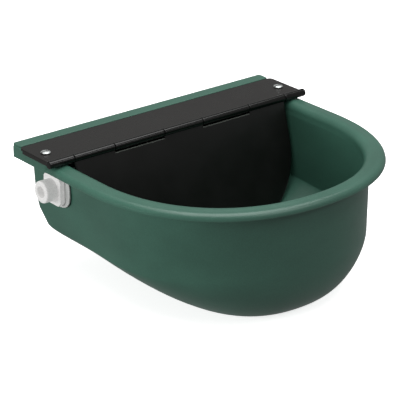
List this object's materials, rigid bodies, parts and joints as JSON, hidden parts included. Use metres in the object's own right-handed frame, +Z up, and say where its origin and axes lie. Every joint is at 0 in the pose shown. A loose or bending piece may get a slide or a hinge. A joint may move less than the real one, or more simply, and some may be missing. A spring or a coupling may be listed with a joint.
{
  "type": "livestock drinking bowl with float valve",
  "caption": "Wall-hung D-shaped drinking bowl with rolled lip, screwed cover plate, hinged flap and a lever float valve behind it.",
  "frame": {"origin": "middle of the flat wall face, level with the top of the rear ledge", "axes": "+X to the right seen from the front, along the hinge; +Y out of the wall face, towards the wall; +Z up"},
  "size_m": [0.3006, 0.2633, 0.1283],
  "materials": {
    "green_plastic": "satin moulded plastic with a fine grain",
    "plate_plastic": "satin black plastic, finely grained",
    "flap_plastic": "satin black plastic",
    "white_plastic": "semi-gloss white nylon",
    "zinc_steel": "bright zinc plated",
    "brass": "turned brass",
    "rubber": "black sealing rubber"
  },
  "bodies": {
    "base": {"bowl": "green_plastic", "cover_plate": "plate_plastic", "hinge_pin": "zinc_steel", "cover_screw_left": "zinc_steel", "cover_screw_right": "zinc_steel", "cover_washer_left": "zinc_steel", "cover_washer_right": "zinc_steel", "cover_nut_left": "zinc_steel", "cover_nut_right": "zinc_steel", "inlet_nipple": "white_plastic", "inlet_flange": "white_plastic", "inlet_gasket": "rubber", "inlet_lock_nut": "white_plastic", "inlet_strainer": "zinc_steel", "valve_body": "white_plastic", "seat_nozzle": "brass", "lever_pin": "zinc_steel", "lever_clip": "zinc_steel"},
    "flap": {"flap": "flap_plastic"},
    "plunger": {"plunger": "white_plastic", "plunger_disc": "rubber"},
    "float_lever": {"lever": "white_plastic", "float_arm": "brass", "arm_locknut": "brass", "float_nut": "brass", "float_upper": "white_plastic", "float_lower": "white_plastic"}
  },
  "joints": [
    {"name": "flap_hinge", "type": "hinge", "parent": "base", "child": "flap", "pos_m": [0, -0.0628, 0.0008], "axis": [-1, 0, 0], "range_deg": [0, 190]},
    {"name": "lever_pivot", "type": "hinge", "parent": "base", "child": "float_lever", "pos_m": [-0.07, -0.044, -0.0442], "axis": [0, -1, 0], "range_deg": [0, 18]},
    {"name": "plunger_slide", "type": "slide", "parent": "base", "child": "plunger", "axis": [-1, 0, 0], "range_m": [0, 0.0038]}
  ],
  "couplings": [
    {"joint": "plunger_slide", "follows": "lever_pivot", "m_per_rad": 0.012}
  ]
}
